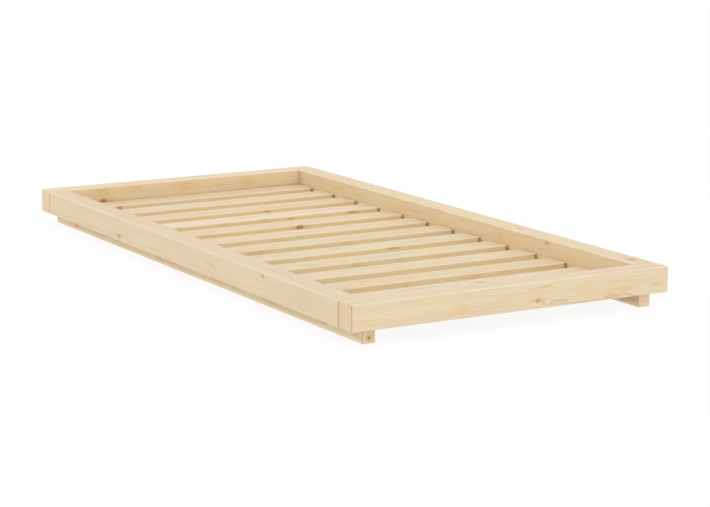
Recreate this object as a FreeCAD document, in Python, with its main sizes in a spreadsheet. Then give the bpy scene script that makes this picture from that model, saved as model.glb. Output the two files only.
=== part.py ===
import FreeCAD, Part
import os

import Sketcher
from FreeCAD import Placement, Rotation, Vector

# A floor bed for a child, in pine. Two long runners lie on the floor. They carry two end rails
# and two side rails, and a row of cross slats on the ledge that each runner leaves inside the
# side rails. X runs across the bed, Y along it with the head at +Y, and Z up. The origin is on
# the floor, under the middle of the bed.

document = FreeCAD.newDocument("floor_bed")

# ------------------------------------------------------------------ sizes, in millimetres

SIZES = (
    ("mattress_width", 900, "opening between the side rails"),
    ("mattress_length", 2000, "opening between the end rails"),
    ("rail_thickness", 70, "all four rails, seen from above"),
    ("rail_height", 76, "all four rails"),
    ("rail_edge_radius", 4, "rounding of every rail edge"),
    ("runner_width", 40, "runner, seen from above"),
    ("runner_height", 41, "floor to the rails"),
    ("runner_edge_radius", 3, "rounding of every runner edge"),
    ("runner_end_inset", 23, "runner end to the end rail's outer face"),
    ("ledge_width", 16, "part of the runner inside the side rail"),
    ("slat_count", 13, "slats in the row"),
    ("slat_width", 90, "slat, along the bed"),
    ("slat_thickness", 25, "slat, upwards"),
    ("slat_edge_radius", 3, "rounding of every slat edge"),
    ("slat_clearance", 3, "slat ends to the side rails"),
    ("slat_end_gap", 13, "first and last slat to the end rails"),
    ("dowel_count", 2, "dowels in each corner, one above the other"),
    ("dowel_diameter", 10, "corner dowel"),
    ("dowel_length", 60, "corner dowel"),
    ("dowel_chamfer", 1, "both ends of a dowel"),
    ("dowel_spacing", 38, "between the dowels of a corner"),
    ("hole_end_clearance", 1, "dowel end or screw tip to the bottom of its hole"),
    ("shank_clearance", 0.1, "round every dowel and screw shank"),
    ("head_clearance", 0.5, "round every screw head"),
    ("screw_grip", 27, "runner wood above every screw head"),
    ("side_screw_count", 6, "screws in each side rail"),
    ("side_screw_end_distance", 50, "side rail's end to its nearest screw"),
    ("rail_screw_bite", 53, "length of a rail screw inside the rail"),
    ("rail_screw_diameter", 6, "shank"),
    ("rail_screw_head_diameter", 12, "pan head"),
    ("rail_screw_head_height", 4, "pan head"),
    ("rail_screw_head_chamfer", 1, "pan head"),
    ("rail_screw_recess_span", 6.4, "cross recess"),
    ("rail_screw_recess_depth", 2.5, "cross recess"),
    ("rail_screw_recess_blade", 1.4, "cross recess, width of an arm"),
    ("slat_screw_cover", 6, "slat wood above the tip of a slat screw"),
    ("slat_screw_diameter", 4, "shank"),
    ("slat_screw_head_diameter", 8, "pan head"),
    ("slat_screw_head_height", 3, "pan head"),
    ("slat_screw_head_chamfer", 0.8, "pan head"),
    ("slat_screw_recess_span", 4.4, "cross recess"),
    ("slat_screw_recess_depth", 1.8, "cross recess"),
    ("slat_screw_recess_blade", 1, "cross recess, width of an arm"),
)

sheet = document.addObject("Spreadsheet::Sheet", "Sizes")
for row, (alias, value, meaning) in enumerate(SIZES, start=1):
    sheet.set(f"A{row}", alias)
    sheet.set(f"B{row}", str(value))
    sheet.set(f"C{row}", meaning)
    sheet.setAlias(f"B{row}", alias)
document.recompute()

SLAT_COUNT = int(sheet.slat_count)
DOWEL_COUNT = int(sheet.dowel_count)
RUNNER_COUNT = 2

# Lengths that follow from the sheet.
OUTER_WIDTH = "(Sizes.mattress_width + 2 * Sizes.rail_thickness)"
RUNNER_LENGTH = "(Sizes.mattress_length + 2 * (Sizes.rail_thickness - Sizes.runner_end_inset))"
SLAT_LENGTH = "(Sizes.mattress_width - 2 * Sizes.slat_clearance)"
SLAT_BITE = "(Sizes.slat_thickness - Sizes.slat_screw_cover)"
RAIL_BITE = "Sizes.rail_screw_bite"

# Rows of like pieces, from the first centre to the last.
SLAT_ROW = "(Sizes.mattress_length - 2 * Sizes.slat_end_gap - Sizes.slat_width)"
SIDE_SCREW_ROW = "(Sizes.mattress_length - 2 * Sizes.side_screw_end_distance)"
DOWEL_ROW = "((Sizes.dowel_count - 1) * Sizes.dowel_spacing)"

# Centre lines, from the middle of the bed.
SIDE_RAIL_X = "((Sizes.mattress_width + Sizes.rail_thickness) / 2)"
END_RAIL_Y = "((Sizes.mattress_length + Sizes.rail_thickness) / 2)"
RUNNER_X = "((Sizes.mattress_width + Sizes.runner_width) / 2 - Sizes.ledge_width)"
LEDGE_X = "((Sizes.mattress_width - Sizes.ledge_width) / 2)"
SIDE_SCREW_X = "((Sizes.mattress_width + Sizes.runner_width - Sizes.ledge_width) / 2)"
END_SCREW_Y = "((Sizes.mattress_length + Sizes.rail_thickness - Sizes.runner_end_inset) / 2)"

# Heights: a screw head's seat above the floor, and the lowest dowel above the rail's underside.
HEAD_SEAT = "(Sizes.runner_height - Sizes.screw_grip)"
LOWEST_DOWEL = f"((Sizes.rail_height - {DOWEL_ROW}) / 2)"

HOLE_END = "Sizes.hole_end_clearance"
HALF_TURN = 180
FULL_TURN = 360


# ------------------------------------------------------------------ ways of making a piece

def new_body(label, x="0", y="0", z="0", turn=0):
    """A piece, or a group of like pieces, turned about Z and placed by expressions."""
    body = document.addObject("PartDesign::Body", label)
    body.Label = label
    body.AllowCompound = True
    body.Placement = Placement(Vector(0, 0, 0), Rotation(Vector(0, 0, 1), turn))
    body.setExpression("Placement.Base.x", x)
    body.setExpression("Placement.Base.y", y)
    body.setExpression("Placement.Base.z", z)
    return body


def origin_feature(body, role):
    """A plane or an axis of the body's own origin."""
    return next(item for item in body.Origin.OriginFeatures if item.Role == role)


def new_sketch(body, name, plane, lift="0"):
    """An empty sketch on a plane of the body, lifted along the plane's normal."""
    sketch = body.newObject("Sketcher::SketchObject", name)
    sketch.AttachmentSupport = [(origin_feature(body, plane), "")]
    sketch.MapMode = "FlatFace"
    sketch.setExpression("AttachmentOffset.Base.z", lift)
    sketch.Visibility = False
    return sketch


def point_at(sketch, place):
    """Where a pair of expressions puts a point of the sketch now."""
    x, y = (float(sketch.evalExpression(distance)) for distance in place)
    return Vector(x, y, 0)


def pin_point(sketch, edge, vertex, place):
    """Hold a point of the sketch at a pair of expressions, from the sketch's origin."""
    now = point_at(sketch, place)
    for kind, distance, start in (("DistanceX", place[0], now.x), ("DistanceY", place[1], now.y)):
        pin = sketch.addConstraint(Sketcher.Constraint(kind, -1, 1, edge, vertex, start))
        sketch.setExpression(f"Constraints[{pin}]", distance)


def polygon(sketch, corners):
    """A closed outline through corners that are pairs of expressions."""
    points = [point_at(sketch, corner) for corner in corners]
    for start, end in zip(points, points[1:] + points[:1]):
        sketch.addGeometry(Part.LineSegment(start, end), False)
    for edge, corner in enumerate(corners):
        following = (edge + 1) % len(corners)
        sketch.addConstraint(Sketcher.Constraint("Coincident", edge, 2, following, 1))
        pin_point(sketch, edge, 1, corner)


def circles(sketch, diameter, centres):
    """Equal circles whose centres are pairs of expressions."""
    radius = float(sketch.evalExpression(diameter)) / 2
    for centre in centres:
        circle = Part.Circle(point_at(sketch, centre), Vector(0, 0, 1), radius)
        edge = sketch.addGeometry(circle, False)
        size = sketch.addConstraint(Sketcher.Constraint("Diameter", edge, 2 * radius))
        sketch.setExpression(f"Constraints[{size}]", diameter)
        pin_point(sketch, edge, 3, centre)


def pocket(body, sketch, name, depth, with_normal):
    """Sink a sketch into the body, along its normal or against it."""
    feature = body.newObject("PartDesign::Pocket", name)
    feature.Profile = sketch
    feature.Reversed = with_normal
    feature.setExpression("Length", depth)
    return feature


def turned(body, plane, profile):
    """A round piece about the plane's upright axis, from pairs of radius and place along it."""
    sketch = new_sketch(body, "Profile", plane)
    polygon(sketch, profile)
    feature = body.newObject("PartDesign::Revolution", "Turned")
    feature.Profile = sketch
    feature.ReferenceAxis = (sketch, ["V_Axis"])
    feature.Angle = FULL_TURN
    return feature


def row_of(body, originals, axis, length, count):
    """Repeat features along an axis of the body, the last one at the given length."""
    feature = body.newObject("PartDesign::LinearPattern", "Row")
    feature.Originals = originals
    feature.Direction = (origin_feature(body, axis), [""])
    feature.setExpression("Length", length)
    feature.setExpression("Occurrences", count)
    body.Tip = feature


def mirror_of(body, originals, plane):
    """Repeat features on the other side of a plane of the body."""
    feature = body.newObject("PartDesign::Mirrored", "Mirror")
    feature.Originals = originals
    feature.MirrorPlane = (origin_feature(body, plane), [""])
    body.Tip = feature


# ------------------------------------------------------------------ timber

def plank(label, width, length, height, radius, **place):
    """A straight planed piece with all edges rounded, its underside at its own Z = 0."""
    body = new_body(label, **place)
    right = f"{width} / 2"
    left = f"-{width} / 2"
    far = f"{length} / 2"
    near = f"-{length} / 2"
    outline = new_sketch(body, "Outline", "XY_Plane")
    polygon(outline, ((left, near), (right, near), (right, far), (left, far)))

    timber = body.newObject("PartDesign::Pad", "Timber")
    timber.Profile = outline
    timber.setExpression("Length", height)

    rounding = body.newObject("PartDesign::Fillet", "Rounding")
    rounding.Base = (timber, [""])
    rounding.UseAllEdges = True
    rounding.setExpression("Radius", radius)
    return body


def shank_holes(body, joint, screw, depth, centres):
    """Holes up from the underside for the shanks of one kind of screw."""
    sketch = new_sketch(body, f"{joint}Shanks", "XY_Plane")
    circles(sketch, f"Sizes.{screw}_diameter + 2 * Sizes.shank_clearance", centres)
    return pocket(body, sketch, f"{joint}Holes", depth, with_normal=True)


def head_holes(body, joint, screw, centres):
    """Wider holes in a runner's underside that hide the heads of one kind of screw."""
    sketch = new_sketch(body, f"{joint}Heads", "XY_Plane")
    circles(sketch, f"Sizes.{screw}_head_diameter + 2 * Sizes.head_clearance", centres)
    return pocket(body, sketch, f"{joint}HeadHoles", HEAD_SEAT, with_normal=True)


def dowel_holes(body, face, columns):
    """Level holes for the dowels of each column, in the face that looks along the body's -Y."""
    heights = [f"{LOWEST_DOWEL} + {step} * Sizes.dowel_spacing" for step in range(DOWEL_COUNT)]
    sketch = new_sketch(body, "Dowels", "XZ_Plane", lift=face)
    circles(sketch, "Sizes.dowel_diameter + 2 * Sizes.shank_clearance",
            [(x, height) for x in columns for height in heights])
    return pocket(body, sketch, "DowelHoles", f"Sizes.dowel_length / 2 + {HOLE_END}",
                  with_normal=False)


def end_rail(label, y, turn=0):
    """An end rail runs the full width of the bed. One shape serves the head and the foot."""
    body = plank(label, OUTER_WIDTH, "Sizes.rail_thickness", "Sizes.rail_height",
                 "Sizes.rail_edge_radius", y=y, z="Sizes.runner_height", turn=turn)
    dowel_holes(body, "Sizes.rail_thickness / 2", (f"-{SIDE_RAIL_X}", SIDE_RAIL_X))

    screw_y = f"{END_SCREW_Y} - {END_RAIL_Y}"
    crossings = ((f"-{RUNNER_X}", screw_y), (RUNNER_X, screw_y))
    shank_holes(body, "Runner", "rail_screw", f"{RAIL_BITE} + {HOLE_END}", crossings)
    return body


def side_rail(label, x, turn=0):
    """A side rail stands between the end rails. One shape serves the left and the right."""
    body = plank(label, "Sizes.rail_thickness", "Sizes.mattress_length", "Sizes.rail_height",
                 "Sizes.rail_edge_radius", x=x, z="Sizes.runner_height", turn=turn)
    foot_end = dowel_holes(body, "Sizes.mattress_length / 2", ("0",))
    mirror_of(body, [foot_end], "XZ_Plane")

    first = ((f"{SIDE_SCREW_X} - {SIDE_RAIL_X}", f"-{SIDE_SCREW_ROW} / 2"),)
    hole = shank_holes(body, "Runner", "rail_screw", f"{RAIL_BITE} + {HOLE_END}", first)
    row_of(body, [hole], "Y_Axis", SIDE_SCREW_ROW, "Sizes.side_screw_count")
    return body


def runner(label, x, turn=0):
    """A runner lies on the floor and ties the frame together. One shape serves both sides."""
    body = plank(label, "Sizes.runner_width", RUNNER_LENGTH, "Sizes.runner_height",
                 "Sizes.runner_edge_radius", x=x, turn=turn)
    through = "Sizes.runner_height"

    ends = (("0", f"-{END_SCREW_Y}"), ("0", END_SCREW_Y))
    shank_holes(body, "EndRail", "rail_screw", through, ends)
    head_holes(body, "EndRail", "rail_screw", ends)

    first = ((f"{SIDE_SCREW_X} - {RUNNER_X}", f"-{SIDE_SCREW_ROW} / 2"),)
    hole = [shank_holes(body, "SideRail", "rail_screw", through, first),
            head_holes(body, "SideRail", "rail_screw", first)]
    row_of(body, hole, "Y_Axis", SIDE_SCREW_ROW, "Sizes.side_screw_count")

    first = ((f"{LEDGE_X} - {RUNNER_X}", f"-{SLAT_ROW} / 2"),)
    hole = [shank_holes(body, "Slat", "slat_screw", through, first),
            head_holes(body, "Slat", "slat_screw", first)]
    row_of(body, hole, "Y_Axis", SLAT_ROW, "Sizes.slat_count")
    return body


def slat(number):
    """A cross slat rests on the ledges of both runners. Number 1 is nearest the head."""
    steps = number - 1
    y = f"{SLAT_ROW} / 2 - {steps} * {SLAT_ROW} / (Sizes.slat_count - 1)"
    body = plank(f"slat_{number:02d}", SLAT_LENGTH, "Sizes.slat_width", "Sizes.slat_thickness",
                 "Sizes.slat_edge_radius", y=y, z="Sizes.runner_height")
    ends = ((f"-{LEDGE_X}", "0"), (LEDGE_X, "0"))
    shank_holes(body, "Runner", "slat_screw", f"{SLAT_BITE} + {HOLE_END}", ends)
    return body


# ------------------------------------------------------------------ dowels and screws

def corner_dowels(label, x, y):
    """The dowels of one corner lie half in the end rail and half in the side rail."""
    body = new_body(label, x=x, y=y, z=f"Sizes.runner_height + {LOWEST_DOWEL}")
    side = "Sizes.dowel_diameter / 2"
    tip = "Sizes.dowel_length / 2"
    flat = f"{side} - Sizes.dowel_chamfer"
    shoulder = f"({tip} - Sizes.dowel_chamfer)"
    profile = (("0", f"-{tip}"), (flat, f"-{tip}"), (side, f"-{shoulder}"),
               (side, shoulder), (flat, tip), ("0", tip))
    dowel = turned(body, "XY_Plane", profile)
    row_of(body, [dowel], "Z_Axis", DOWEL_ROW, "Sizes.dowel_count")
    return body


def cross(sketch, span, blade):
    """Two crossed bars, each as long as the span and as wide as the blade."""
    tip = f"{span} / 2"
    side = f"{blade} / 2"
    polygon(sketch, (
        (tip, f"-{side}"), (tip, side), (side, side),
        (side, tip), (f"-{side}", tip), (f"-{side}", side),
        (f"-{tip}", side), (f"-{tip}", f"-{side}"), (f"-{side}", f"-{side}"),
        (f"-{side}", f"-{tip}"), (side, f"-{tip}"), (side, f"-{side}"),
    ))


def screws(label, screw, bite, axis, length, count, **place):
    """A row of wood screws with pan heads, each seated in a runner and pointing up.

    The underside of each head is at the body's own Z = 0.
    """
    body = new_body(label, z=HEAD_SEAT, **place)
    size = f"Sizes.{screw}"
    shank = f"{size}_diameter / 2"
    rim = f"{size}_head_diameter / 2"
    bottom = f"-{size}_head_height"
    tip = f"(Sizes.screw_grip + {bite})"
    profile = (("0", bottom), (f"{rim} - {size}_head_chamfer", bottom),
               (rim, f"{bottom} + {size}_head_chamfer"), (rim, "0"),
               (shank, "0"), (shank, f"{tip} - {size}_diameter"), ("0", tip))
    blank = turned(body, "XZ_Plane", profile)

    recess = new_sketch(body, "Recess", "XY_Plane", lift=bottom)
    cross(recess, f"{size}_recess_span", f"{size}_recess_blade")
    drive = pocket(body, recess, "Drive", f"{size}_recess_depth", with_normal=True)
    row_of(body, [blank, drive], axis, length, count)
    return body


# ------------------------------------------------------------------ the bed

pieces = [
    end_rail("end_rail_head", END_RAIL_Y),
    end_rail("end_rail_foot", f"-{END_RAIL_Y}", HALF_TURN),
    side_rail("side_rail_right", SIDE_RAIL_X),
    side_rail("side_rail_left", f"-{SIDE_RAIL_X}", HALF_TURN),
    runner("runner_right", RUNNER_X),
    runner("runner_left", f"-{RUNNER_X}", HALF_TURN),
]

for slat_number in range(1, SLAT_COUNT + 1):
    pieces.append(slat(slat_number))

for end, joint_y in (("head", "Sizes.mattress_length / 2"), ("foot", "-Sizes.mattress_length / 2")):
    pieces.append(corner_dowels(f"corner_dowels_{end}_left", f"-{SIDE_RAIL_X}", joint_y))
    pieces.append(corner_dowels(f"corner_dowels_{end}_right", SIDE_RAIL_X, joint_y))

for end, screw_y in (("head", END_SCREW_Y), ("foot", f"-{END_SCREW_Y}")):
    pieces.append(screws(f"end_rail_screws_{end}", "rail_screw", RAIL_BITE,
                         "X_Axis", f"2 * {RUNNER_X}", str(RUNNER_COUNT),
                         x=f"-{RUNNER_X}", y=screw_y))

for side, sign in (("left", "-"), ("right", "")):
    pieces.append(screws(f"side_rail_screws_{side}", "rail_screw", RAIL_BITE,
                         "Y_Axis", SIDE_SCREW_ROW, "Sizes.side_screw_count",
                         x=f"{sign}{SIDE_SCREW_X}", y=f"-{SIDE_SCREW_ROW} / 2"))
    pieces.append(screws(f"slat_screws_{side}", "slat_screw", SLAT_BITE,
                         "Y_Axis", SLAT_ROW, "Sizes.slat_count",
                         x=f"{sign}{LEDGE_X}", y=f"-{SLAT_ROW} / 2"))

document.recompute()

for item in document.Objects:
    if "Invalid" in item.State or "Error" in item.State:
        raise RuntimeError(f"{item.Label} could not be worked out: {item.State}")
for piece in pieces:
    if piece.Shape.isNull() or not piece.Shape.isValid():
        raise RuntimeError(f"{piece.Label} has no sound shape")

os.makedirs("parts", exist_ok=True)
for piece in pieces:
    piece.Shape.exportStep(f"parts/{piece.Label}.step")
print(f"{len(pieces)} nodes, {sum(len(piece.Shape.Solids) for piece in pieces)} solids")
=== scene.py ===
import math

import bpy
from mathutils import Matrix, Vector


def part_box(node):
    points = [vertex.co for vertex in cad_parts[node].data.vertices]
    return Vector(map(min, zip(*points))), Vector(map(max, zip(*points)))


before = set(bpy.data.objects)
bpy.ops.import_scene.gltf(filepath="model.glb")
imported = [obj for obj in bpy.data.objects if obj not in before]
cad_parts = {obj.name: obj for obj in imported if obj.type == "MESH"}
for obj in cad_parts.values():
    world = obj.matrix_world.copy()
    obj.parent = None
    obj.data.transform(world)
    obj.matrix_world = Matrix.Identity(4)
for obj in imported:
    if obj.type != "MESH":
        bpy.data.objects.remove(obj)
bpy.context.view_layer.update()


# Runners: two planed pine battens, 40 x 41 mm, that the bed stands on. The rails and the slat
# ends are screwed to them from below. The left one was sawn round the heart of its tree, which
# shows as a dark spot in its end.
def linear(hex_colour):
    """The linear colour that a socket takes, from an sRGB hex value."""
    parts = [int(hex_colour[i:i + 2], 16) / 255 for i in (1, 3, 5)]
    parts = [p / 12.92 if p <= 0.04045 else ((p + 0.055) / 1.055) ** 2.4 for p in parts]
    return (*parts, 1.0)


def add_node(tree, kind, sockets=(), **settings):
    """Adds a node. sockets fill its free inputs in order, or by name, with values or links."""
    node = tree.nodes.new("ShaderNode" + kind)
    for name, value in settings.items():
        setattr(node, name, value)
    if not isinstance(sockets, dict):
        sockets = dict(zip([i for i, s in enumerate(node.inputs) if s.enabled], sockets))
    for key, value in sockets.items():
        if isinstance(value, bpy.types.Node):
            value = next(s for s in value.outputs if s.enabled)
        if isinstance(value, bpy.types.NodeSocket):
            tree.links.new(value, node.inputs[key])
        else:
            node.inputs[key].default_value = value
    return node


def knots_of(kind, knots, tree, on_board, trunk, pith, ragged):
    """Distances from the nearest knot of a kind in knot radii, for its wood and for its resin.

    A knot runs along its branch, from the pith outwards. A streak or a pocket of resin is a
    closed lens. The wood is drawn out along the trunk to 1.5 times its width, the resin to 3.6
    times or, in a lens, to 7 times.
    """
    distances = []
    buried = kind in ("streak", "resin")
    wood_squeeze = 0.35
    resin_squeeze = 0.85 if buried else 0.72
    lean = 0.2
    for squeeze in (wood_squeeze, resin_squeeze):
        shrink = Vector([1 - squeeze * abs(part) for part in trunk])
        nearest = None
        for x, y, z, size in [knot[1:] for knot in knots if knot[0] == kind]:
            point = Vector((x, y, z)) / 1000
            branch = point - pith - trunk * (point - pith).dot(trunk)
            branch = (branch.normalized() + trunk * lean).normalized() * shrink
            away = add_node(tree, "VectorMath", [on_board, point], operation="SUBTRACT")
            away = add_node(tree, "VectorMath", [away, shrink * 1000 / size], operation="MULTIPLY")
            if not buried:
                away = add_node(tree, "VectorMath", [away, branch.normalized()],
                                operation="CROSS_PRODUCT")
            away = add_node(tree, "VectorMath", [away], operation="LENGTH")
            away = add_node(tree, "Math", [away, ragged], operation="ADD")
            if nearest is not None:
                away = add_node(tree, "Math", [nearest, away], operation="MINIMUM")
            nearest = away
        distances.append(nearest)
    return distances


def planed_pine(name, along, heart, drift, early, ring, knots=(), sawn_side_shade=0.0):
    """Planed, unoiled pine cut from its own tree, so that faces, edges and ends show one grain.

    To the eye it is pale straw with thin tan rings, silky along the fibres and duller on the
    sawn ends. heart: mm from the board's middle to the tree's middle, sideways and up. drift: mm
    that this changes by over a metre of board. early: colour of the pale spring wood. ring: mm
    of growth a year. knots: for each its kind, x, y and z in mm of a point on it, and its radius
    in mm. sawn_side_shade: how far the narrow sides are amber, as a share, partly from the saw
    and partly as painted shade of the gaps between slats; above 0 it also paints shade at their ends.
    """
    low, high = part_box(name)
    middle = (low + high) / 2
    half = (high - low) / 2
    lengthways = Vector((1, 0, 0)) if along == "X" else Vector((0, 1, 0))
    sideways = Vector((0, 1, 0)) if along == "X" else Vector((1, 0, 0))
    upwards = Vector((0, 0, 1))
    trunk = (lengthways + (sideways * drift[0] + upwards * drift[1]) / 1000).normalized()
    pith = middle + (sideways * heart[0] + upwards * heart[1]) / 1000
    # Each board is cut 3 m further up than the one before, so that no two share their grain.
    log_length = 3.0
    up_the_log = sorted(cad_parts).index(name) * log_length

    material = bpy.data.materials.new("planed_pine_" + name)
    material.use_nodes = True
    tree = material.node_tree
    tree.nodes.clear()
    coordinates = add_node(tree, "TexCoord")
    on_board = coordinates.outputs["Object"]
    turned = trunk.to_track_quat("Z", "Y").to_euler()
    millimetre = (0.001, 0.001, 0.001)
    in_tree = add_node(tree, "Mapping", [on_board, pith - trunk * up_the_log, turned, millimetre],
                       vector_type="TEXTURE")

    # in_tree is in mm from the pith, with Z up the trunk. The heart wanders by about 4 mm over
    # half a metre of trunk.
    up_trunk = add_node(tree, "VectorMath", [in_tree, (0, 0, 1 / 500)], operation="MULTIPLY")
    wander = add_node(tree, "TexNoise", [up_trunk, 1.0, 1.0, 0.5])
    shift = add_node(tree, "VectorMath", [wander.outputs["Color"], (20, 20, 0), (-10, -10, 0)],
                     operation="MULTIPLY_ADD")
    crooked = add_node(tree, "VectorMath", [in_tree, shift], operation="ADD")
    across_trunk = add_node(tree, "VectorMath", [crooked, (1, 1, 0)], operation="MULTIPLY")
    radius = add_node(tree, "VectorMath", [across_trunk], operation="LENGTH")

    # Growth rings: their width changes over the years, and they bulge round a knot by 1.4 rings.
    # A year's late wood comes on slowly and ends sharply, and is darker in some years.
    waver = add_node(tree, "VectorMath", [in_tree, (1 / 20, 1 / 20, 1 / 200)], operation="MULTIPLY")
    waver = add_node(tree, "TexNoise", [waver, 1.0, 2.0, 0.5])
    rings = add_node(tree, "Math", [radius, 1 / ring], operation="MULTIPLY")
    rings = add_node(tree, "Math", [waver, 1.6, rings], operation="MULTIPLY_ADD")
    ragged = add_node(tree, "TexNoise", [in_tree, 1 / 8, 1.0, 0.5])
    ragged = add_node(tree, "Math", [ragged, 0.7, -0.35], operation="MULTIPLY_ADD")
    kinds = {}
    for kind in sorted({knot[0] for knot in knots}):
        kinds[kind] = knots_of(kind, knots, tree, on_board, trunk, pith, ragged)
        even = add_node(tree, "Math", [kinds[kind][1], ragged], operation="SUBTRACT")
        bulge = add_node(tree, "MapRange", [even, 0.5, 3.0, -1.4, 0.0],
                         interpolation_type="SMOOTHSTEP")
        rings = add_node(tree, "Math", [rings, bulge], operation="ADD")
    season = add_node(tree, "Math", [rings], operation="FRACT")
    summer = add_node(tree, "MapRange", [season, 0.4, 0.92, 0.0, 1.0], interpolation_type="SMOOTHSTEP")
    winter = add_node(tree, "MapRange", [season, 0.95, 1.0, 1.0, 0.0], interpolation_type="SMOOTHSTEP")
    year = add_node(tree, "Math", [rings], operation="FLOOR")
    year = add_node(tree, "TexWhiteNoise", [year], noise_dimensions="1D")
    year = add_node(tree, "MapRange", [year, 0.0, 1.0, 0.15, 0.6])
    late = add_node(tree, "Math", [summer, winter], operation="MULTIPLY")
    late = add_node(tree, "Math", [late, year], operation="MULTIPLY")
    colour = add_node(tree, "Mix", [late, linear(early), linear("#D2AC78")], data_type="RGBA")

    # Tone: slow drifts 90 mm wide and 700 mm long between yellow and rosy wood, and amber streaks
    # 14 mm wide and 300 mm long.
    tone = add_node(tree, "VectorMath", [in_tree, (1 / 45, 1 / 45, 1 / 350)], operation="MULTIPLY")
    tone = add_node(tree, "TexNoise", [tone, 1.0, 2.0, 0.5])
    tone = add_node(tree, "MapRange", [tone, 0.35, 0.65, 0.0, 1.0], interpolation_type="SMOOTHSTEP")
    tint = add_node(tree, "Mix", [tone, linear("#FFFFF8"), linear("#FFF8F2")], data_type="RGBA")
    colour = add_node(tree, "Mix", [1.0, colour, tint], data_type="RGBA", blend_type="MULTIPLY")
    amber = add_node(tree, "VectorMath", [in_tree, (1 / 7, 1 / 7, 1 / 150)], operation="MULTIPLY")
    amber = add_node(tree, "TexNoise", [amber, 1.0, 2.0, 0.5])
    amber = add_node(tree, "MapRange", [amber, 0.52, 0.7, 0.0, 0.35], interpolation_type="SMOOTHSTEP")
    colour = add_node(tree, "Mix", [amber, colour, linear("#E3BE8B")], data_type="RGBA")

    # Fibres 1 mm wide and 70 mm long, and resin ducts 0.8 mm wide and 10 mm long.
    fibre = add_node(tree, "VectorMath", [in_tree, (1.0, 1.0, 1 / 70)], operation="MULTIPLY")
    fibre = add_node(tree, "TexNoise", [fibre, 1.0, 2.0, 0.6])
    duct = add_node(tree, "VectorMath", [in_tree, (1 / 0.8, 1 / 0.8, 1 / 10)], operation="MULTIPLY")
    duct = add_node(tree, "TexNoise", [duct, 1.0, 1.0, 0.4])
    duct = add_node(tree, "MapRange", [duct, 0.68, 0.78, 0.0, 0.5], interpolation_type="SMOOTHSTEP")
    shade = add_node(tree, "MapRange", [fibre, 0.25, 0.75, 0.0, 0.14])
    colour = add_node(tree, "Mix", [shade, colour, linear("#CBA370")], data_type="RGBA")
    colour = add_node(tree, "Mix", [duct, colour, linear("#B98A55")], data_type="RGBA")

    # Heartwood within 16 mm of the tree's middle is amber, and the pith is brown.
    heartwood = add_node(tree, "MapRange", [radius, 3.0, 16.0, 0.7, 0.0],
                         interpolation_type="SMOOTHSTEP")
    colour = add_node(tree, "Mix", [heartwood, colour, linear("#DDB074")], data_type="RGBA")
    core = add_node(tree, "MapRange", [radius, 1.5, 7.0, 0.85, 0.0], interpolation_type="SMOOTHSTEP")
    colour = add_node(tree, "Mix", [core, colour, linear("#AE7340")], data_type="RGBA")

    # Narrow sides straight from the saw are a little more amber, and more amber again as painted
    # shade, which stands in for the shade in the gaps between slats. Within 14 mm of their ends they
    # are brown: painted shade for the hollow between a slat's end and the rail.
    # inside_face is in metres, and is 0 on each face and less than 0 inside it.
    off_middle = add_node(tree, "VectorMath", [on_board, middle], operation="SUBTRACT")
    off_middle = add_node(tree, "VectorMath", [off_middle], operation="ABSOLUTE")
    inside_face = add_node(tree, "VectorMath", [off_middle, half], operation="SUBTRACT")
    inside_face = add_node(tree, "SeparateXYZ", [inside_face])
    if sawn_side_shade:
        narrow = add_node(tree, "VectorMath", [coordinates.outputs["Normal"], sideways],
                          operation="DOT_PRODUCT")
        narrow = add_node(tree, "Math", [narrow], operation="ABSOLUTE")
        narrow = add_node(tree, "MapRange", [narrow, 0.5, 0.9, 0.0, 1.0],
                          interpolation_type="SMOOTHSTEP")
        amber = add_node(tree, "Math", [narrow, sawn_side_shade], operation="MULTIPLY")
        colour = add_node(tree, "Mix", [amber, colour, linear("#F0D39D")], data_type="RGBA")
        # Painted shade: brown on the narrow sides from 3 to 14 mm in from their ends.
        painted_end_shade = add_node(tree, "MapRange", [inside_face.outputs[along], -0.014, -0.003, 0.0, 0.9],
                          interpolation_type="SMOOTHSTEP")
        painted_end_shade = add_node(tree, "Math", [painted_end_shade, narrow], operation="MULTIPLY")
        colour = add_node(tree, "Mix", [painted_end_shade, colour, linear("#AD8350")], data_type="RGBA")

    # Knots: faint round ones, live red-brown ones, dry grey ones and dead brown ones, each in a
    # glow of resin. Their colours are the middle, the rim and the resin, with the resin's share.
    # A streak is the glow of a knot that lies just under the surface, and resin is a pocket of it.
    looks = {"round": ("#E8CD9E", "#DBB680", "#E6C590", 0.55),
             "red": ("#D4A673", "#C18D59", "#E2B680", 0.65),
             "grey": ("#CBAB88", "#BA9771", "#DDC09A", 0.5),
             "dead": ("#C18A5B", "#B0764A", "#DFB27C", 0.75),
             "streak": (None, None, "#DBAE72", 0.6),
             "resin": (None, None, "#D29F62", 1.0)}
    for kind, (apart, drawn_out) in kinds.items():
        inner, rim, resin, stain = looks[kind]
        glow = add_node(tree, "MapRange", [drawn_out, 0.3, 1.9, stain, 0.0],
                        interpolation_type="SMOOTHSTEP")
        colour = add_node(tree, "Mix", [glow, colour, linear(resin)], data_type="RGBA")
        if inner is None:
            continue
        inside = add_node(tree, "MapRange", [apart, 0.7, 1.2, 1.0, 0.0],
                          interpolation_type="SMOOTHSTEP")
        knot_rings = add_node(tree, "Math", [apart, 22.0], operation="MULTIPLY")
        knot_rings = add_node(tree, "Math", [knot_rings], operation="SINE")
        knot_rings = add_node(tree, "MapRange", [knot_rings, -1.0, 1.0, 0.0, 0.35])
        knot = add_node(tree, "Mix", [knot_rings, linear(inner), linear(rim)], data_type="RGBA")
        edge = add_node(tree, "MapRange", [apart, 0.6, 0.95, 0.0, 0.5],
                        interpolation_type="SMOOTHSTEP")
        knot = add_node(tree, "Mix", [edge, knot, linear(rim)], data_type="RGBA")
        colour = add_node(tree, "Mix", [inside, colour, knot], data_type="RGBA")
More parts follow.
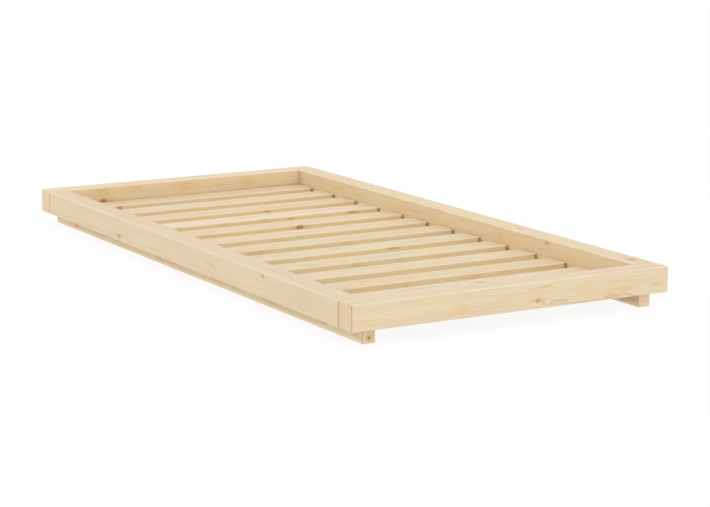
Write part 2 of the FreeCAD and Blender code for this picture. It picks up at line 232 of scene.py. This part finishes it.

    # The last 4 mm to the long edges is paler, partly from sanding and partly a painted highlight
    # along the rounded arrises. Sawn ends are a little greyer, and the upright rounded edges of
    # their ends are brown.
    from_edge = add_node(tree, "Math", [inside_face.outputs["Y" if along == "X" else "X"],
                                        inside_face.outputs["Z"]], operation="MINIMUM")
    sanded_and_highlight = add_node(tree, "MapRange", [from_edge, -0.004, -0.0005, 0.0, 0.5],
                      interpolation_type="SMOOTHSTEP")
    colour = add_node(tree, "Mix", [sanded_and_highlight, colour, linear("#FAF1E0")], data_type="RGBA")
    facing = add_node(tree, "VectorMath", [coordinates.outputs["Normal"], lengthways],
                      operation="DOT_PRODUCT")
    facing = add_node(tree, "Math", [facing], operation="ABSOLUTE")
    sawn_end = add_node(tree, "MapRange", [facing, 0.85, 0.98, 0.0, 1.0],
                        interpolation_type="SMOOTHSTEP")
    end_tint = add_node(tree, "Mix", [sawn_end, linear("#FFFFFF"), linear("#FAF7F4")],
                        data_type="RGBA")
    colour = add_node(tree, "Mix", [1.0, colour, end_tint], data_type="RGBA", blend_type="MULTIPLY")
    # The upright rounded edges of the ends are drawn brown.
    brown_upright_edge = add_node(tree, "MapRange", [facing, 0.1, 0.5, 0.0, 0.7], interpolation_type="SMOOTHSTEP")
    planed_end = add_node(tree, "Math", [1.0, sawn_end], operation="SUBTRACT")
    brown_upright_edge = add_node(tree, "Math", [brown_upright_edge, planed_end], operation="MULTIPLY")
    upright = add_node(tree, "VectorMath", [coordinates.outputs["Normal"], upwards],
                       operation="DOT_PRODUCT")
    upright = add_node(tree, "Math", [upright], operation="ABSOLUTE")
    upright = add_node(tree, "MapRange", [upright, 0.2, 0.6, 1.0, 0.0], interpolation_type="SMOOTHSTEP")
    brown_upright_edge = add_node(tree, "Math", [brown_upright_edge, upright], operation="MULTIPLY")
    colour = add_node(tree, "Mix", [brown_upright_edge, colour, linear("#B5905C")], data_type="RGBA")

    # Heights in mm: late wood stands 0.04 proud of the plane, fibres lift 0.03, ducts sink 0.06.
    height = add_node(tree, "Math", [late, 0.04, 0.0], operation="MULTIPLY_ADD")
    height = add_node(tree, "Math", [fibre, 0.03, height], operation="MULTIPLY_ADD")
    height = add_node(tree, "Math", [duct, -0.06, height], operation="MULTIPLY_ADD")
    relief = add_node(tree, "Bump", {"Strength": 1.0, "Distance": 0.001, "Height": height})
    gloss = add_node(tree, "MapRange", [late, 0.0, 1.0, 0.52, 0.44])
    gloss = add_node(tree, "Math", [sawn_end, 0.14, gloss], operation="MULTIPLY_ADD")
    surface = add_node(tree, "BsdfPrincipled", {
        "Base Color": colour, "Roughness": gloss, "IOR": 1.53, "Normal": relief})
    add_node(tree, "OutputMaterial", [surface])
    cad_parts[name].material_slots[0].material = material


planed_pine("runner_left", "Y", (2, -1), (1, 2), "#ECDEC2", 2.6, [("red", -474, 873, 17, 6)])
planed_pine("runner_right", "Y", (55, -40), (12, 20), "#F2E5CB", 2.4,
            [("round", 434, -720, 18, 6), ("red", 474, 310, 24, 7)])


# End rails: two planed pine beams, 70 x 76 mm, across the head and the foot. They run the full
# width, so that their sawn ends show on the bed's long sides, and the edges are rounded to 4 mm.
planed_pine("end_rail_head", "X", (75, -62), (18, 14), "#F0E1C2", 3.0,
            [("round", -320, 1000, 96, 12), ("round", -187, 1000, 105, 5), ("round", -11, 1000, 95, 12),
             ("round", 238, 1000, 91, 11), ("streak", 131, 1000, 87, 3), ("dead", -322, 1000, 67, 8)])
planed_pine("end_rail_foot", "X", (70, -75), (24, 10), "#E9DBBF", 3.2,
            [("red", 72, -1070, 65, 5), ("round", -175, -1070, 64, 8), ("round", 366, -1070, 68, 9),
             ("round", 318, -1070, 64, 6), ("round", 475, -1070, 68, 6), ("streak", 96, -1070, 101, 3),
             ("streak", 147, -1070, 57, 3), ("streak", -498, -1053, 117, 4)])


# Side rails: two more beams of the same pine and section, butted between the end rails along
# the bed's long sides. Their grain runs the length of the bed.
planed_pine("side_rail_left", "Y", (72, -70), (10, 12), "#E6D8BC", 3.2,
            [("grey", -520, 421, 58, 8), ("streak", -520, -238, 80, 5), ("red", -520, -568, 104, 4)])
planed_pine("side_rail_right", "Y", (68, -60), (14, -10), "#EEDDBB", 3.0,
            [("round", 469, 355, 117, 7), ("red", 485, -941, 117, 9), ("red", 481, -370, 117, 5),
             ("red", 450, -567, 106, 4), ("round", 450, -313, 86, 8)])


# Slats: thirteen planed pine boards, 90 x 25 mm, laid across the bed 67 mm apart to carry the
# mattress. Each is screwed to the runners at both ends. Each comes from its own log, with the
# heart somewhere below it, so that no two show the same rings; slat 4 is the palest.
slat_knots = {
    1: [("dead", -306, 897, 57, 3)],
    3: [("resin", 96, 583, 59, 2)],
    4: [("round", 10, 426, 63, 7), ("resin", 104, 426, 57, 2), ("round", -145, 426, 64, 5),
        ("resin", 342, 426, 59, 3)],
    5: [("dead", 54, 269, 58, 8)],
    6: [("round", -8, 150, 66, 4), ("streak", 62, 191, 66, 4)],
    7: [("round", -265, -45, 59, 7), ("round", 57, -45, 59, 5)],
    8: [("resin", 126, -202, 61, 3), ("streak", -48, -147, 66, 5), ("round", -49, -119, 66, 5)],
    9: [("round", -98, -359, 61, 5), ("round", 58, -359, 59, 4)],
    11: [("round", 124, -673, 60, 6), ("round", -114, -673, 51, 5), ("streak", -323, -664, 66, 6)],
    12: [("streak", -140, -776, 66, 7), ("red", 67, -788, 66, 7)]}
slat_colours = ("#EBDDC1", "#EADBBA", "#EBDDBF", "#EADAB8")
# How amber each slat's narrow sides are: partly sawn wood, partly painted shade of the gaps.
usual_side_amber_shade = 0.45
slat_side_amber_shade = {2: 0.7, 3: 0.9, 4: 0.9, 5: 0.9, 8: 0.7}
for number in range(1, 14):
    side = -1 if number % 2 else 1
    heart = (side * (12 + 5 * (number % 4)), -38 - 9 * (number % 5))
    drift = (30 - 11 * (number % 6), 26 - 9 * (number % 7))
    early = "#F2E7D2" if number == 4 else slat_colours[number % 4]
    ring = 2.4 + 0.3 * (number % 5)
    planed_pine(f"slat_{number:02d}", "X", heart, drift, early, ring,
                slat_knots.get(number, []), slat_side_amber_shade.get(number, usual_side_amber_shade))


# Corner dowels: turned beech pegs, 10 x 60 mm, two glued into each corner joint and hidden
# there. Beech is pinkish tan, with a fine straight grain and short brown flecks along it, drawn
# a little coarser here than the real ones.
beech = bpy.data.materials.new("turned_beech")
beech.use_nodes = True
tree = beech.node_tree
tree.nodes.clear()
place = add_node(tree, "TexCoord").outputs["Object"]
grain = add_node(tree, "VectorMath", [place, (900, 18, 900)], operation="MULTIPLY")
grain = add_node(tree, "TexNoise", [grain, 1.0, 3.0, 0.6])
flecks = add_node(tree, "VectorMath", [place, (2200, 350, 700)], operation="MULTIPLY")
flecks = add_node(tree, "TexNoise", [flecks, 1.0, 1.0, 0.5])
flecks = add_node(tree, "MapRange", [flecks, 0.6, 0.7, 0.0, 0.6], interpolation_type="SMOOTHSTEP")
colour = add_node(tree, "Mix", [grain, linear("#DDB78C"), linear("#C99A6B")], data_type="RGBA")
colour = add_node(tree, "Mix", [flecks, colour, linear("#A9744A")], data_type="RGBA")
relief = add_node(tree, "Bump", {"Strength": 0.4, "Distance": 0.00005, "Height": grain})
surface = add_node(tree, "BsdfPrincipled", {
    "Base Color": colour, "Roughness": 0.5, "IOR": 1.53, "Normal": relief})
add_node(tree, "OutputMaterial", [surface])
for name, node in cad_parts.items():
    if name.startswith("corner_dowels"):
        node.material_slots[0].material = beech


# Screws: zinc-plated steel with a cross recess, driven up through the runners. Their heads sit
# in counterbores in the runners' undersides. The plating is bright and bluish, with a faint
# mottle 1 mm wide.
zinc = bpy.data.materials.new("zinc_plated_steel")
zinc.use_nodes = True
tree = zinc.node_tree
tree.nodes.clear()
place = add_node(tree, "TexCoord").outputs["Object"]
mottle = add_node(tree, "TexNoise", [place, 900.0, 3.0, 0.6])
colour = add_node(tree, "Mix", [mottle, linear("#C9CDD3"), linear("#B4B8BC")], data_type="RGBA")
gloss = add_node(tree, "MapRange", [mottle, 0.3, 0.7, 0.22, 0.38])
relief = add_node(tree, "Bump", {"Strength": 0.3, "Distance": 0.00005, "Height": mottle})
surface = add_node(tree, "BsdfPrincipled", {
    "Base Color": colour, "Metallic": 1.0, "Roughness": gloss, "Normal": relief})
add_node(tree, "OutputMaterial", [surface])
for name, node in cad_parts.items():
    if "_screws_" in name:
        node.material_slots[0].material = zinc


# Studio floor: a plain white floor that the bed stands on. The camera sees it almost as white
# as paper, with only a faint shadow. From below it is clear, and so it is to light that leaves
# a surface within 20 mm of it, so that the runners' undersides and the screws show from below.
floor_width = 60
floor_gap = 0.0005
bpy.ops.object.select_all(action="DESELECT")
bpy.ops.mesh.primitive_plane_add(size=floor_width, location=(0, 0, -floor_gap))
floor = bpy.context.object
floor.name = "studio_floor"
white_floor = bpy.data.materials.new("white_studio_floor")
white_floor.use_nodes = True
tree = white_floor.node_tree
tree.nodes.clear()
ray = add_node(tree, "LightPath")
seen = add_node(tree, "Math", [ray.outputs["Is Camera Ray"], ray.outputs["Is Glossy Ray"]],
                operation="MAXIMUM")
seen = add_node(tree, "Math", [seen, ray.outputs["Is Transmission Ray"]], operation="MAXIMUM")
painted = add_node(tree, "BsdfDiffuse", {"Color": linear("#FBFBFA")})
faint = add_node(tree, "BsdfDiffuse", {"Color": linear("#595959")})
glow = add_node(tree, "Emission", {"Color": (1.0, 1.0, 1.0, 1.0), "Strength": 0.9})
bright = add_node(tree, "AddShader", [glow, faint])
upper = add_node(tree, "MixShader", [seen, painted, bright])
under = add_node(tree, "BsdfTransparent")
reach = 0.02
near = add_node(tree, "Math", [ray.outputs["Ray Length"], reach], operation="LESS_THAN")
clear = add_node(tree, "NewGeometry").outputs["Backfacing"]
clear = add_node(tree, "Math", [clear, near], operation="MAXIMUM")
both = add_node(tree, "MixShader", [clear, upper, under])
add_node(tree, "OutputMaterial", [both])
floor.data.materials.append(white_floor)


# Studio light: an even room that lights at 0.98 of white and that the camera sees as white, and
# one large softbox low down at the front left, which reaches in under the rails.
world = bpy.data.worlds.new("white_room")
world.use_nodes = True
world.node_tree.nodes.clear()
glow = add_node(world.node_tree, "Background", {"Color": (1.0, 1.0, 1.0, 1.0), "Strength": 0.98})
room = add_node(world.node_tree, "Background", {"Color": (1.0, 1.0, 1.0, 1.0), "Strength": 1.0})
seen = add_node(world.node_tree, "LightPath").outputs["Is Camera Ray"]
both = add_node(world.node_tree, "MixShader", [seen, glow, room])
add_node(world.node_tree, "OutputWorld", [both])
bpy.context.scene.world = world
bpy.context.scene.view_settings.view_transform = "Standard"
azimuth = math.radians(-38)
elevation = math.radians(16)
distance = 10.0
towards = Vector((math.sin(azimuth) * math.cos(elevation), -math.cos(azimuth) * math.cos(elevation),
                  math.sin(elevation)))
softbox = bpy.data.lights.new("softbox", "AREA")
softbox.size = 4.0
softbox.energy = 80.0
lamp = bpy.data.objects.new("softbox", softbox)
lamp.location = towards * distance
lamp.rotation_mode = "QUATERNION"
lamp.rotation_quaternion = (-towards).to_track_quat("-Z", "Y")
bpy.context.scene.collection.objects.link(lamp)


# Camera: looks down the bed from its foot end, left of its middle line, as the photograph does.
azimuth = math.radians(-29.909)
elevation = math.radians(11.086)
back = Vector((math.sin(azimuth) * math.cos(elevation), -math.cos(azimuth) * math.cos(elevation),
               math.sin(elevation)))
lens = bpy.data.cameras.new("camera")
lens.lens = 113.227
lens.sensor_width = 36.0
lens.clip_start = 0.05
lens.clip_end = 100.0
camera = bpy.data.objects.new("camera", lens)
camera.location = (-3.35880, -6.02395, 1.37347)
camera.rotation_mode = "QUATERNION"
camera.rotation_quaternion = (-back).to_track_quat("-Z", "Y")
bpy.context.scene.collection.objects.link(camera)
bpy.context.scene.camera = camera
